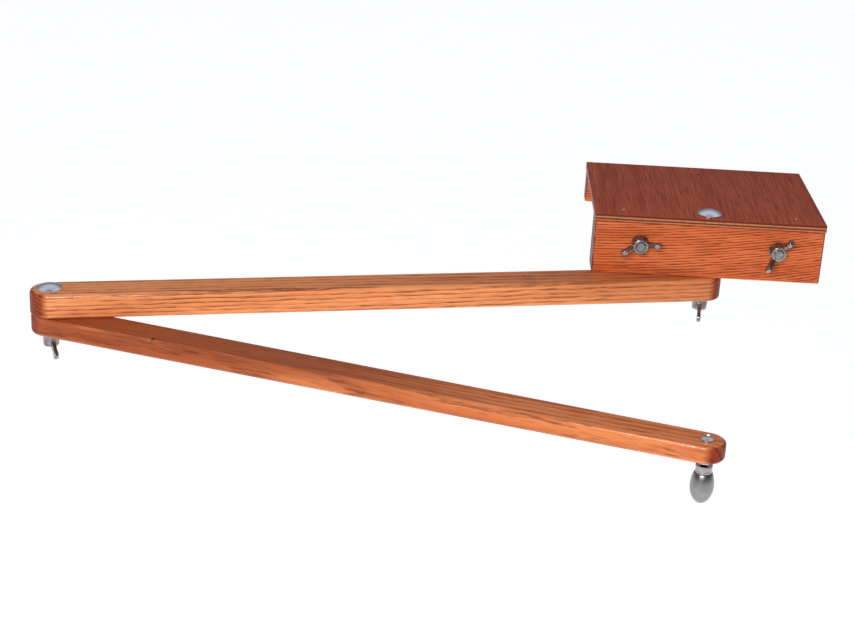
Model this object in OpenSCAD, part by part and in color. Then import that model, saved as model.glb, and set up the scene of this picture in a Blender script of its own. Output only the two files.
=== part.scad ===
// Folding swing arm on a saddle clamp bracket.
// Two wooden links swing flat under a bracket that sits over a rail.
// Origin: middle of the saddle plate's underside. +X along the apron, -Y to its front, +Z up.

/* [Saddle bracket] */
// Width of the saddle plate, along the rail
plate_w = 175.5; // [145:0.5:211]
// Depth of the saddle plate, across the rail
plate_d = 130; // [108:0.5:156]
// Thickness of the plywood plate
plate_t = 6.5; // [5.5:0.5:8]
// How far the plate stands out past the apron's front and the lip's back
plate_overhang = 1; // [0.5:0.5:3]
// How far the plate stands out past the ends of the apron and the lip
end_overhang = 0.3; // [0:0.1:2]
// Height of the front apron
apron_h = 41.5; // [34:0.5:50]
// Thickness of the front apron, front to back
apron_t = 23; // [20:0.2:27.6]
// Height of the rear lip
lip_h = 24; // [20:0.5:32]
// Thickness of the rear lip
lip_t = 12; // [10:0.5:15]
// Radius of the bracket's rounded edges
bracket_edge_r = 1.5; // [1:0.25:2.5]

/* [Swing arms] */
// Upper arm, from the swivel's centre to the elbow's centre
upper_len = 494; // [410:1:593]
// Width of the upper arm
upper_w = 28.5; // [24:0.5:36]
// Thickness of the upper arm
upper_t = 18.5; // [15:0.5:22.5]
// Lower arm, from the elbow's centre to the knob's centre
lower_len = 481.3; // [400:0.1:580]
// Width of the lower arm at the elbow
lower_w = 27.5; // [24:0.5:34]
// Width of the lower arm at the knob
lower_tip_w = 25; // [21:0.5:30]
// Thickness of the lower arm at the elbow
lower_t = 14.6; // [12:0.1:17.6]
// Thickness of the lower arm at the knob
lower_tip_t = 12.8; // [10.5:0.1:15.4]
// Radius of the arms' outer rounded edges
arm_edge_r = 3; // [1:0.25:4]
// Radius of the edges where the two arms meet
seam_edge_r = 2; // [0.5:0.25:3]
// Angle that the upper arm rests at, away from the apron's line
swivel_rest = 12.5; // [0:0.5:45]
// Angle that the folded lower arm rests at, away from the upper arm
elbow_rest = 30.5; // [10:0.5:90]

/* [Carriage bolts] */
// Diameter of the bolts
bolt_d = 7.94; // [6.35:0.01:8.5]
// Diameter of the domed heads
head_d = 18.6; // [16:0.1:20]
// Height of the domed heads
head_h = 3.7; // [3:0.1:5]
// Length of the square neck under a head
neck_h = 4.8; // [3.5:0.1:5.2]
// How far a bolt's end stands out of its wing nut
bolt_proud = 0.7; // [0.3:0.1:3]
// Outer diameter of the flat washers
washer_d = 17.5; // [14:0.5:19]
// Thickness of the flat washers
washer_t = 1.6; // [1:0.1:2.5]

/* [Wing nuts] */
// Diameter of the seating flange
nut_flange_d = 13.4; // [12.4:0.1:16]
// Thickness of the seating flange
nut_flange_t = 1.2; // [0.8:0.1:2]
// Diameter of the boss at its foot
boss_foot_d = 12.2; // [10.5:0.1:14]
// Diameter of the boss at its top
boss_top_d = 11; // [10.2:0.1:13]
// Height of the boss
boss_h = 9; // [7:0.1:11]
// Tip-to-tip span of the wings
wing_span = 31.5; // [26:0.5:36]
// Height of the wing tips above the seat
wing_h = 15.6; // [12.5:0.1:19]
// Thickness of the wings
wing_t = 2.8; // [2:0.1:4]
// Radius of the wing tips
wing_tip_r = 3.3; // [2.5:0.1:4.5]
// Angle of the left clamp nut's wings on the apron
left_wing_turn = 15; // [-90:1:90]
// Angle of the right clamp nut's wings on the apron
right_wing_turn = 57; // [-90:1:90]
// Angle of the swivel nut's wings, about the vertical
swivel_wing_turn = -96; // [-180:1:180]
// Angle of the elbow nut's wings, about the vertical
elbow_wing_turn = -63; // [-180:1:180]

/* [Rail clamp] */
// Distance of a clamp screw from the plate's end
screw_inset = 35.5; // [30:0.5:42]
// Depth of the clamp screws below the plate
screw_drop = 15.7; // [13.5:0.1:18]
// Travel of the pressure bar
bar_travel = 12; // [8:0.5:15]
// Length of the pressure bar
bar_l = 150; // [130:1:170]
// Height of the pressure bar
bar_h = 24; // [23.5:0.5:26]
// Wood in front of the screw heads in the bar
bar_front = 5; // [5:0.1:7]
// Wood behind the screw heads in the bar
bar_back = 4.1; // [3:0.1:6]
// Diameter of the tee nuts' flanges
tee_flange_d = 22; // [18:0.5:24]
// Thickness of the tee nuts' flanges
tee_flange_t = 1.5; // [1:0.1:2]
// Diameter of the tee nuts' barrels
tee_barrel_d = 10; // [9.6:0.1:11]
// Length of the tee nuts' barrels
tee_barrel_l = 12; // [8:0.5:16]

/* [Brads] */
// Distance of the brads from the plate's ends
brad_inset = 22; // [18:0.5:24]
// Length of a brad
brad_l = 25; // [18:1:32]
// Diameter of a brad's shank
brad_d = 1.4; // [1.2:0.1:2]
// Diameter of a brad's head
brad_head_d = 2.2; // [2:0.1:3]

/* [Knob] */
// Diameter of the knob's screw
knob_screw_d = 4.83; // [4:0.01:5.5]
// Diameter of the screw's pan head
pan_d = 9.5; // [8:0.1:11]
// Height of the screw's pan head
pan_h = 2.6; // [2:0.1:3.5]
// Width of the jam nut across its flats
jam_af = 9.5; // [8:0.1:11]
// Thickness of the jam nut
jam_t = 3.2; // [2.4:0.1:4]
// Bare screw between the jam nut and the ferrule
knob_gap = 1.8; // [0.5:0.1:4]
// Diameter of the ferrule
ferrule_d = 11.2; // [9:0.1:13]
// Height of the ferrule
ferrule_h = 5.2; // [4:0.1:8]
// Largest diameter of the grip
grip_d = 15.7; // [12.5:0.1:19]
// Length of the grip
grip_h = 21.5; // [17.5:0.5:26]
// Depth of the screw in the grip
grip_thread = 7; // [5:0.5:10]

/* [Hidden] */
$fn = 64;

// Clearances
thread_gap = 0.05;   // radial, screw in its thread
pivot_gap = 0.08;    // radial, bolt in a swinging arm
drill_gap = 0.4;     // radial, bolt in a drilled hole or a washer
swing_gap = 0.1;     // between faces that turn on each other
stop_gap = 0.3;      // between the drawn-back bar and the tee nuts
nut_gap = 1;         // between the apron and the clamp nuts, screws fully in
head_gap = 0.2;      // around a screw head in the pressure bar
neck_gap = 0.3;      // around a turning square neck
eps = 0.01;

// Bracket
pivot_y = -plate_d / 2 + plate_overhang + apron_t / 2;
apron_back = pivot_y + apron_t / 2;
apron_front = pivot_y - apron_t / 2;
wood_w = plate_w - 2 * end_overhang;
lip_y = plate_d / 2 - plate_overhang - lip_t / 2;
brad_x = plate_w / 2 - brad_inset;
brad_head_t = 1.2;

// Heights, from the plate's underside
apron_base = -apron_h;
upper_top = apron_base - swing_gap;
upper_base = upper_top - upper_t;
lower_top = upper_base - swing_gap;
lower_base = lower_top - lower_t;
lower_tip_base = lower_top - lower_tip_t;

// Carriage bolts
rim_h = 0.7;
cap_h = head_h - rim_h;
cap_r = (pow(head_d / 2, 2) + pow(cap_h, 2)) / (2 * cap_h);
neck_w = bolt_d;
neck_diag = neck_w * 1.3;
bore_r = bolt_d / 2 + drill_gap;
pivot_r = bolt_d / 2 + pivot_gap;
tip_chamfer = 0.8;
swivel_bolt_l = plate_t + apron_h + swing_gap + upper_t + washer_t + boss_h + bolt_proud;
elbow_bolt_l = upper_t + swing_gap + lower_t + washer_t + boss_h + bolt_proud;

// Rail clamp, from the apron's back to the rail
screw_x = plate_w / 2 - screw_inset;
bar_y = apron_back + tee_flange_t + stop_gap + bar_travel;
pocket_h = head_h + head_gap;
bar_t = bar_front + pocket_h + bar_back;
head_seat_y = bar_y + bar_front;
nut_seat_y = apron_front - nut_gap;
clamp_screw_l = head_seat_y - nut_seat_y + boss_h + bolt_proud;
pocket_r = head_d / 2 + head_gap;
neck_slot_r = neck_diag / 2 + neck_gap;
prong_n = 4;
prong_l = 6;
prong_w = 3;
prong_t = 1.2;
prong_r = tee_flange_d / 2 - prong_t - 0.6;

// Knob
jam_d = jam_af / cos(30);
spot_d = jam_d + 1;
ferrule_top = lower_tip_base - jam_t - knob_gap;
grip_top = ferrule_top - ferrule_h;
ferrule_waist = 0.35;
dish_h = 0.8;
recess_w = 5.8;
recess_slot = 1.5;
recess_depth = 1.9;
grip_neck_r = 5.9;
grip_foot_r = 2.9;
grip_belly = 0.45;
grip_steps = 24;
knob_screw_l = lower_tip_t + jam_t + knob_gap + ferrule_h + grip_thread;

// Where a straight line from p touches the circle at c with radius r
function touch(p, c, r, side) =
    let (d = norm(c - p), a = atan2(c[1] - p[1], c[0] - p[0]) + side * asin(r / d),
         t = sqrt(d * d - r * r))
    [p[0] + t * cos(a), p[1] + t * sin(a)];

// Radius of the grip at height h below its top: two half ellipses that meet at the belly
function grip_r(h) =
    let (rise = grip_belly * grip_h, fall = grip_h - rise, r = grip_d / 2,
         up = rise / sqrt(1 - pow(grip_neck_r / r, 2)),
         down = fall / sqrt(1 - pow(grip_foot_r / r, 2)))
    r * sqrt(1 - pow((h - rise) / (h < rise ? up : down), 2));

// ---- shapes that repeat ----

// A bar along X with its four long edges rounded, centred on the origin
module rounded_bar(l, w, h, r) {
    rotate([90, 0, 90])
        linear_extrude(l, center = true) {
            square([w - 2 * r, h], center = true);
            square([w, h - 2 * r], center = true);
            for (x = [-1, 1], y = [-1, 1])
                translate([x * (w / 2 - r), y * (h / 2 - r)]) circle(r);
        }
}

// Half of an arm's section, from its middle out: top at y = 0, edge radii above and below
module half_section(w, h, r_top, r_base) {
    translate([0, r_base - h]) square([w / 2, h - r_top - r_base]);
    translate([0, -r_top]) square([w / 2 - r_top, r_top]);
    translate([0, -h]) square([w / 2 - r_base, r_base]);
    translate([w / 2 - r_top, -r_top]) circle(r_top);
    translate([w / 2 - r_base, r_base - h]) circle(r_base);
}

// The round end of an arm: a disc with rounded rims, top face at z = 0
module arm_end(w, h, r_top, r_base) {
    rotate_extrude() half_section(w, h, r_top, r_base);
}

// The straight run of an arm along X from the origin, top face at z = 0
module arm_run(l, w, h, r_top, r_base) {
    rotate([90, 0, 90])
        linear_extrude(l)
            for (side = [0, 1]) mirror([side, 0]) half_section(w, h, r_top, r_base);
}

// A carriage bolt: its head seats at z = 0, with the dome up and the shank down
module carriage_bolt(l) {
    cylinder(d = head_d, h = rim_h);
    translate([0, 0, rim_h])
        intersection() {
            translate([0, 0, cap_h - cap_r]) sphere(cap_r);
            cylinder(d = head_d, h = cap_h + 1);
        }
    translate([0, 0, -neck_h])
        intersection() {
            translate([-neck_w / 2, -neck_w / 2, 0]) cube([neck_w, neck_w, neck_h + eps]);
            cylinder(d = neck_diag, h = neck_h + eps);
        }
    translate([0, 0, tip_chamfer - l]) cylinder(d = bolt_d, h = l - tip_chamfer + eps);
    translate([0, 0, -l]) cylinder(d1 = bolt_d - 2 * tip_chamfer, d2 = bolt_d, h = tip_chamfer);
}

// The square seat that a neck is drawn into, below z = 0
module neck_seat() {
    translate([0, 0, -neck_h])
        intersection() {
            translate([-neck_w / 2, -neck_w / 2, 0]) cube([neck_w, neck_w, neck_h + 1]);
            cylinder(d = neck_diag, h = neck_h + 1);
        }
}

module flat_washer() {
    difference() {
        cylinder(d = washer_d, h = washer_t);
        translate([0, 0, -1]) cylinder(r = bore_r, h = washer_t + 2);
    }
}

// One wing, in the plane y = 0, from the boss out to its round tip
module wing() {
    tip = [wing_span / 2 - wing_tip_r, wing_h - wing_tip_r];
    low = [boss_foot_d / 2 - 1.2, nut_flange_t + 0.4];
    high = [boss_top_d / 2 - 1, boss_h - 0.8];
    rotate([90, 0, 0])
        linear_extrude(wing_t, center = true) {
            polygon([low, touch(low, tip, wing_tip_r, -1), tip, touch(high, tip, wing_tip_r, 1), high]);
            translate(tip) circle(wing_tip_r);
        }
}

// A wing nut: its seat is at z = 0 and its wings point up
module wing_nut() {
    difference() {
        union() {
            cylinder(d = nut_flange_d, h = nut_flange_t);
            cylinder(d1 = boss_foot_d, d2 = boss_top_d, h = boss_h);
            for (turn = [0, 180]) rotate(turn) wing();
        }
        translate([0, 0, -1]) cylinder(r = bolt_d / 2 + thread_gap, h = wing_h + 2);
    }
}

// The prongs of a tee nut, from its flange at z = 0 down into the wood
module tee_prongs() {
    for (i = [0 : prong_n - 1])
        rotate(45 + i * 360 / prong_n)
            translate([prong_r + prong_t, 0, 0])
                rotate([90, 0, -90])
                    linear_extrude(prong_t)
                        polygon([[-prong_w / 2, 0], [prong_w / 2, 0], [0, -prong_l]]);
}

// A tee nut: its flange lies on the wood at z = 0, with the barrel down in the wood
module tee_nut() {
    difference() {
        union() {
            cylinder(d = tee_flange_d, h = tee_flange_t);
            translate([0, 0, -tee_barrel_l]) cylinder(d = tee_barrel_d, h = tee_barrel_l + eps);
        }
        translate([0, 0, -tee_barrel_l - 1])
            cylinder(r = bolt_d / 2 + thread_gap, h = tee_barrel_l + tee_flange_t + 2);
    }
    tee_prongs();
}

// ---- places ----

// At the swivel, with X along the upper arm
module on_upper() {
    translate([0, pivot_y, 0]) rotate(180 + swivel_rest) children();
}

// At the elbow, with X along the lower arm
module on_lower() {
    on_upper() translate([upper_len, 0, 0]) rotate(180 - elbow_rest) children();
}

// At a clamp screw, side -1 or 1, with Z pointing back across the rail from y
module on_screw(side, y) {
    translate([side * screw_x, y, -screw_drop]) rotate([-90, 0, 0]) children();
}

// ---- bracket ----

module top_plate() {
    color([0.42, 0.17, 0.12])
    difference() {
        translate([0, 0, plate_t / 2])
            cube([plate_w, plate_d, plate_t], center = true);
        translate([0, pivot_y, -1]) cylinder(r = bore_r, h = plate_t + 2);
        translate([0, pivot_y, plate_t]) neck_seat();
        for (side = [-1, 1])
            translate([side * brad_x, pivot_y, plate_t]) brad();
    }
}

module front_apron() {
    color([0.78, 0.36, 0.17])
    difference() {
        translate([0, pivot_y, -apron_h / 2]) rounded_bar(wood_w, apron_t, apron_h, bracket_edge_r);
        translate([0, pivot_y, apron_base - 1]) cylinder(r = bore_r, h = apron_h + 2);
        for (side = [-1, 1]) {
            on_screw(side, apron_front - 1) cylinder(r = bore_r, h = apron_t + 2);
            on_screw(side, apron_back - tee_barrel_l) cylinder(d = tee_barrel_d, h = tee_barrel_l + 1);
            on_screw(side, apron_back) tee_prongs();
            translate([side * brad_x, pivot_y, plate_t]) brad();
        }
    }
}

module rear_lip() {
    color([0.76, 0.34, 0.16])
    translate([0, lip_y, -lip_h / 2]) rounded_bar(wood_w, lip_t, lip_h, bracket_edge_r);
}

// A brad: its head is flush with z = 0
module brad() {
    translate([0, 0, -brad_head_t]) cylinder(d = brad_head_d, h = brad_head_t);
    translate([0, 0, -brad_l]) cylinder(d = brad_d, h = brad_l - brad_head_t + eps);
}

module plate_brads() {
    color([0.75, 0.75, 0.77])
    for (side = [-1, 1])
        translate([side * brad_x, pivot_y, plate_t]) brad();
}

module swivel_bolt() {
    color([0.75, 0.76, 0.78])
    translate([0, pivot_y, plate_t]) carriage_bolt(swivel_bolt_l);
}

// ---- rail clamp ----

module clamp_tee_nuts() {
    color([0.7, 0.7, 0.68])
    for (side = [-1, 1])
        on_screw(side, apron_back) tee_nut();
}

// The slot that a screw's head hangs in: closed above, open below
module head_slot() {
    translate([0, 0, -bar_front - 1]) {
        cylinder(r = neck_slot_r, h = bar_front + 2);
        translate([-neck_slot_r, 0, 0]) cube([2 * neck_slot_r, bar_h, bar_front + 2]);
    }
    cylinder(r = pocket_r, h = pocket_h);
    translate([-pocket_r, 0, 0]) cube([2 * pocket_r, bar_h, pocket_h]);
}

module pressure_bar() {
    color([0.7, 0.32, 0.16])
    difference() {
        translate([0, bar_y + bar_t / 2, -screw_drop]) rounded_bar(bar_l, bar_t, bar_h, bracket_edge_r);
        for (side = [-1, 1])
            on_screw(side, head_seat_y) head_slot();
    }
}

module clamp_screw(side) {
    color([0.75, 0.76, 0.78])
    on_screw(side, head_seat_y) carriage_bolt(clamp_screw_l);
}

module clamp_wing_nut(side, turn) {
    color([0.72, 0.73, 0.75])
    on_screw(side, nut_seat_y) rotate([180, 0, 0]) rotate(turn) wing_nut();
}

// ---- swivel and upper arm ----

module swivel_washer() {
    color([0.75, 0.76, 0.78])
    translate([0, pivot_y, upper_base - washer_t]) flat_washer();
}

module swivel_wing_nut() {
    color([0.72, 0.73, 0.75])
    translate([0, pivot_y, upper_base - washer_t])
        rotate(swivel_wing_turn) mirror([0, 0, 1]) wing_nut();
}

module upper_arm() {
    color([0.8, 0.4, 0.2])
    on_upper() translate([0, 0, upper_top])
        difference() {
            union() {
                arm_run(upper_len, upper_w, upper_t, arm_edge_r, seam_edge_r);
                for (x = [0, upper_len])
                    translate([x, 0, 0]) arm_end(upper_w, upper_t, arm_edge_r, seam_edge_r);
            }
            translate([0, 0, -upper_t - 1]) cylinder(r = pivot_r, h = upper_t + 2);
            translate([upper_len, 0, -upper_t - 1]) cylinder(r = bore_r, h = upper_t + 2);
            translate([upper_len, 0, 0]) neck_seat();
        }
}

module elbow_bolt() {
    color([0.75, 0.76, 0.78])
    on_upper() translate([upper_len, 0, upper_top]) carriage_bolt(elbow_bolt_l);
}

// ---- elbow and lower arm ----

module elbow_washer() {
    color([0.75, 0.76, 0.78])
    on_lower() translate([0, 0, lower_base - washer_t]) flat_washer();
}

module elbow_wing_nut() {
    color([0.72, 0.73, 0.75])
    on_upper() translate([upper_len, 0, lower_base - washer_t])
        rotate(elbow_wing_turn - swivel_rest) mirror([0, 0, 1]) wing_nut();
}

module lower_arm() {
    color([0.8, 0.4, 0.2])
    on_lower()
        difference() {
            hull() {
                translate([0, 0, lower_top]) arm_end(lower_w, lower_t, seam_edge_r, arm_edge_r, $fn = 40);
                translate([lower_len, 0, lower_top])
                    arm_end(lower_tip_w, lower_tip_t, seam_edge_r, arm_edge_r, $fn = 40);
            }
            translate([0, 0, lower_base - 1]) cylinder(r = pivot_r, h = lower_t + 2);
            translate([lower_len, 0, lower_base - 1]) cylinder(d = knob_screw_d + 2 * drill_gap, h = lower_t + 2);
            translate([lower_len, 0, lower_tip_base - 1]) cylinder(d = spot_d, h = 1);
        }
}

// ---- knob ----

// Pan-head screw: its head seats on the arm, and a cross is sunk in it
module knob_screw() {
    pan_rim = 1.2;
    pan_cap = pan_h - pan_rim;
    pan_r = (pow(pan_d / 2, 2) + pow(pan_cap, 2)) / (2 * pan_cap);
    color([0.7, 0.7, 0.72])
    on_lower() translate([lower_len, 0, lower_top]) {
        difference() {
            union() {
                cylinder(d = pan_d, h = pan_rim);
                translate([0, 0, pan_rim])
                    intersection() {
                        translate([0, 0, pan_cap - pan_r]) sphere(pan_r);
                        cylinder(d = pan_d, h = pan_h);
                    }
            }
            for (turn = [0, 90])
                rotate(turn)
                    translate([-recess_w / 2, -recess_slot / 2, pan_h - recess_depth])
                        cube([recess_w, recess_slot, pan_h]);
        }
        translate([0, 0, -knob_screw_l]) cylinder(d = knob_screw_d, h = knob_screw_l + eps);
    }
}

module knob_jam_nut() {
    color([0.72, 0.72, 0.74])
    on_lower() translate([lower_len, 0, lower_tip_base - jam_t])
        difference() {
            cylinder(d = jam_d, h = jam_t, $fn = 6);
            translate([0, 0, -1]) cylinder(d = knob_screw_d + 2 * thread_gap, h = jam_t + 2);
        }
}

// Turned collar with a hollow waist and a dished top
module knob_ferrule() {
    color([0.72, 0.71, 0.72])
    on_lower() translate([lower_len, 0, ferrule_top - ferrule_h])
        difference() {
            cylinder(d = ferrule_d, h = ferrule_h);
            translate([0, 0, -1]) cylinder(d = knob_screw_d + 2 * thread_gap, h = ferrule_h + 2);
            translate([0, 0, ferrule_h - dish_h])
                cylinder(d1 = knob_screw_d + 2, d2 = ferrule_d - 1.4, h = dish_h + eps);
            rotate_extrude()
                translate([ferrule_d / 2 + ferrule_h / 2 - ferrule_waist, ferrule_h * 0.55])
                    circle(ferrule_h / 2);
        }
}

// Egg-shaped grip, turned from bar
module knob_grip() {
    color([0.74, 0.74, 0.75])
    on_lower() translate([lower_len, 0, grip_top])
        difference() {
            rotate_extrude()
                polygon(concat([[0, 0]],
                    [for (i = [0 : grip_steps]) let (h = grip_h * i / grip_steps) [grip_r(h), -h]],
                    [[0, -grip_h]]));
            translate([0, 0, -grip_thread]) cylinder(d = knob_screw_d + 2 * thread_gap, h = grip_thread + 1);
        }
}

top_plate();
front_apron();
rear_lip();
plate_brads();
swivel_bolt();
clamp_tee_nuts();
pressure_bar();
clamp_screw(-1);  // clamp_screw_left
clamp_screw(1);  // clamp_screw_right
clamp_wing_nut(-1, left_wing_turn);  // clamp_wing_nut_left
clamp_wing_nut(1, right_wing_turn);  // clamp_wing_nut_right
swivel_washer();
swivel_wing_nut();
upper_arm();
elbow_bolt();
elbow_washer();
elbow_wing_nut();
lower_arm();
knob_screw();
knob_jam_nut();
knob_ferrule();
knob_grip();
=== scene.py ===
# %% [markdown]
# # A folding swing arm on a saddle bracket
# Two stained ash links swing flat under a bracket that sits over a rail. Carriage bolts make the
# two pivots, wing nuts keep them snug, and a turned aluminium knob hangs from the free end.
# The solid model is already made. It comes in as a fixed frame, in metres, and every piece that is
# made below is laid on it, so nothing has to be measured twice.

# %% Load the fixed frame
import math

import bmesh
import bpy
from mathutils import Matrix, Vector, noise


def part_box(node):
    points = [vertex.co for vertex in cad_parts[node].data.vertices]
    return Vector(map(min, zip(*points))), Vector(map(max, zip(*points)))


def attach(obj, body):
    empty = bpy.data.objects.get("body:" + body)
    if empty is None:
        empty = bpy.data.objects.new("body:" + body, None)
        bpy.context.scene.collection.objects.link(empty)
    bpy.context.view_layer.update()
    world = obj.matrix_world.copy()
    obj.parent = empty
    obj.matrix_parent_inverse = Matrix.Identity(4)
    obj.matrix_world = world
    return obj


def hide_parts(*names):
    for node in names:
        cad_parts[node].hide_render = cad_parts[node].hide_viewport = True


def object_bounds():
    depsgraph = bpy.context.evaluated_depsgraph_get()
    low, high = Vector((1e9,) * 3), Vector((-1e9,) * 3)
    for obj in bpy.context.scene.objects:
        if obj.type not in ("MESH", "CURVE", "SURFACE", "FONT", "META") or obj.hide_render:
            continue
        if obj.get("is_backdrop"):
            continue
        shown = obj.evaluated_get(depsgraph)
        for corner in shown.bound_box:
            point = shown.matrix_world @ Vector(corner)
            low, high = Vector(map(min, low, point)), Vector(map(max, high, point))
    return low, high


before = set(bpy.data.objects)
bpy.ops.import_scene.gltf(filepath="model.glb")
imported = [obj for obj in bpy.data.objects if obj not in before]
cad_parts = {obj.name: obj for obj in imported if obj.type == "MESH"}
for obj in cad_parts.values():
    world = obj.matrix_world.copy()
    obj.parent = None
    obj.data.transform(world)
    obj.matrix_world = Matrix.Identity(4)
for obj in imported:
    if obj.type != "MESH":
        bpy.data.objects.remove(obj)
cad_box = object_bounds()
print("solid parts:", len(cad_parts))

# %% [markdown]
# ## Where things are
# A box round a solid part is enough to place its detailed piece. A bolt's box is centred on its
# axis, so the bolts and the knob give the three upright axes of the arm.

# %% Read the places from the solid parts
MM = 0.001


def middle(node):
    low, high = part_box(node)
    return (low + high) / 2


plate_low, plate_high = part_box("top_plate")
apron_low, apron_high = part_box("front_apron")
swivel, elbow, knob = middle("swivel_bolt"), middle("elbow_bolt"), middle("knob_grip")
upper_top, lower_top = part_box("upper_arm")[1].z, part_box("lower_arm")[1].z
upper_turn = math.atan2(elbow.y - swivel.y, elbow.x - swivel.x)
lower_turn = math.atan2(knob.y - elbow.y, knob.x - elbow.x)
upper_long = math.hypot(elbow.x - swivel.x, elbow.y - swivel.y)
lower_long = math.hypot(knob.x - elbow.x, knob.y - elbow.y)
print(f"upper link {upper_long / MM:.1f} mm at {math.degrees(upper_turn):.1f} degrees")
print(f"lower link {lower_long / MM:.1f} mm at {math.degrees(lower_turn):.1f} degrees")

# %% [markdown]
# ## The camera and the lights
# The camera stands a little above the bracket and well back, so the links are seen from the front
# and slightly from above. A long lens keeps the two links nearly parallel to the eye.
# One soft panel above the camera lights the fronts of the wood strongly and the tops less, and a
# weak one far to the side lifts the ends. Panels are used rather than spots, because varnish and
# plated steel show the shape of whatever lights them.

# %% Camera
camera_data = bpy.data.cameras.new("camera")
camera_data.lens = 74.42
camera_data.sensor_width = 36
camera_data.clip_end = 50
camera = bpy.data.objects.new("camera", camera_data)
camera.location = (-0.19945, -1.33427, 0.43695)
camera.rotation_euler = [math.radians(a) for a in (67.472, -2.816, 1.665)]
bpy.context.collection.objects.link(camera)
bpy.context.scene.camera = camera
print("camera", [round(v, 3) for v in camera.location], "lens", camera_data.lens)

# %% Lights
WORK = Vector((-0.2, -0.1, -0.03))


def panel(name, place, width, height, power):
    """A soft rectangular lamp that faces the middle of the work."""
    data = bpy.data.lights.new(name, "AREA")
    data.shape = "RECTANGLE"
    data.size, data.size_y = width, height
    data.energy = power
    lamp = bpy.data.objects.new(name, data)
    lamp.location = place
    lamp.rotation_euler = (WORK - Vector(place)).to_track_quat("-Z", "Y").to_euler()
    bpy.context.collection.objects.link(lamp)


panel("front_panel", (-0.42, -1.40, 0.62), 0.55, 0.42, 17.8)
panel("side_panel", (-1.5, 0.1, 0.4), 0.5, 0.5, 0.5)

# %% [markdown]
# ## The room
# Polished metal shows its surroundings more than its own colour, so the room matters as much as
# the lamps. This one is dim in front and overhead, with a pale wall behind that the domed heads
# reflect. A gradient by direction is enough for that, and needs no walls. Looked at directly the
# room is plain white: only what it lights, and what mirrors it, sees the shades.

# %% The room
WALL = ((0.30, 0.20), (0.52, 0.40), (0.80, 0.68), (0.94, 0.58), (1.0, 0.26))  # (height, grey)
FRONT_SHADE, WHITE = (0.10, 0.10, 0.105, 1), (1, 1, 1, 1)
world = bpy.data.worlds.new("studio")
world.use_nodes = True
sky, join = world.node_tree.nodes, world.node_tree.links.new
way, split, wall, behind, blend, rays, seen = (sky.new("ShaderNode" + kind) for kind in (
    "TexCoord", "SeparateXYZ", "ValToRGB", "MapRange", "Mix", "LightPath", "Mix"))
blend.data_type = seen.data_type = "RGBA"
behind.inputs["From Min"].default_value = -0.19
behind.inputs["From Max"].default_value = 0.08
while len(wall.color_ramp.elements) < len(WALL):
    wall.color_ramp.elements.new(0.5)
for mark, (height, grey) in zip(wall.color_ramp.elements, WALL):
    mark.position, mark.color = height, (grey * 0.95, grey * 0.98, grey * 1.06, 1)
blend.inputs["A"].default_value = FRONT_SHADE
seen.inputs["B"].default_value = WHITE
for source, target in (
        (way.outputs["Generated"], split.inputs[0]),
        (split.outputs["Z"], wall.inputs[0]),
        (split.outputs["Y"], behind.inputs["Value"]),
        (behind.outputs[0], blend.inputs["Factor"]),
        (wall.outputs[0], blend.inputs["B"]),
        (rays.outputs["Is Camera Ray"], seen.inputs["Factor"]),
        (blend.outputs["Result"], seen.inputs["A"]),
        (seen.outputs["Result"], sky["Background"].inputs["Color"])):
    join(source, target)
bpy.context.scene.world = world
bpy.context.scene.view_settings.view_transform = "Standard"
print("room:", world.name, "with", len(WALL), "shades on its wall")


# %% [markdown]
# ## Small helpers
# Every finish below is a small tree of nodes. The helpers write one node and join it in one line,
# so a finish can be read from top to bottom. Coordinates are the object's own, because the solid
# model's parts and the pieces here keep their place in their mesh: a pattern made from them stays
# on the piece when the arm folds.

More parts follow.
